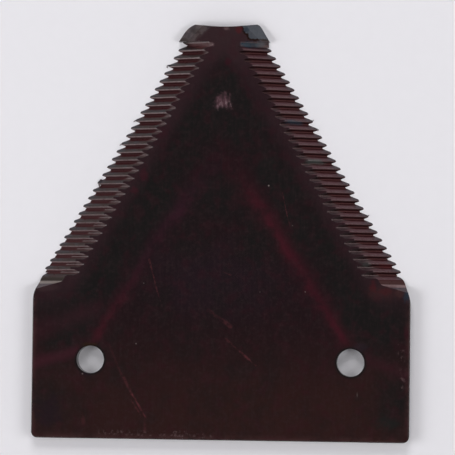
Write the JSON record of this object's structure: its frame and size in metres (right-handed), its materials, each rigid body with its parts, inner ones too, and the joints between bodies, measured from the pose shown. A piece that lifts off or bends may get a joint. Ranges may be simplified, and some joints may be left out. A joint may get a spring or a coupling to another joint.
{
  "type": "mower sickle section",
  "caption": "Flat triangular knife plate for a sickle-bar mower, serrated along both bevelled cutting edges, with rivet holes in its straight heel.",
  "frame": {"origin": "midway between the two rivet holes, on the flat underside that seats on the knife back", "axes": "+Y from the rivet holes towards the tip, +X across the heel to the right, +Z out of the serrated face"},
  "size_m": [0.0762, 0.0839, 0.0028],
  "materials": {
    "lacquered_steel": "thin dark maroon lacquer over hardened steel, worn to grey on the crests of the serrations and on the tip corners"
  },
  "bodies": {
    "root": {"sickle_section": "lacquered_steel"}
  },
  "joints": []
}
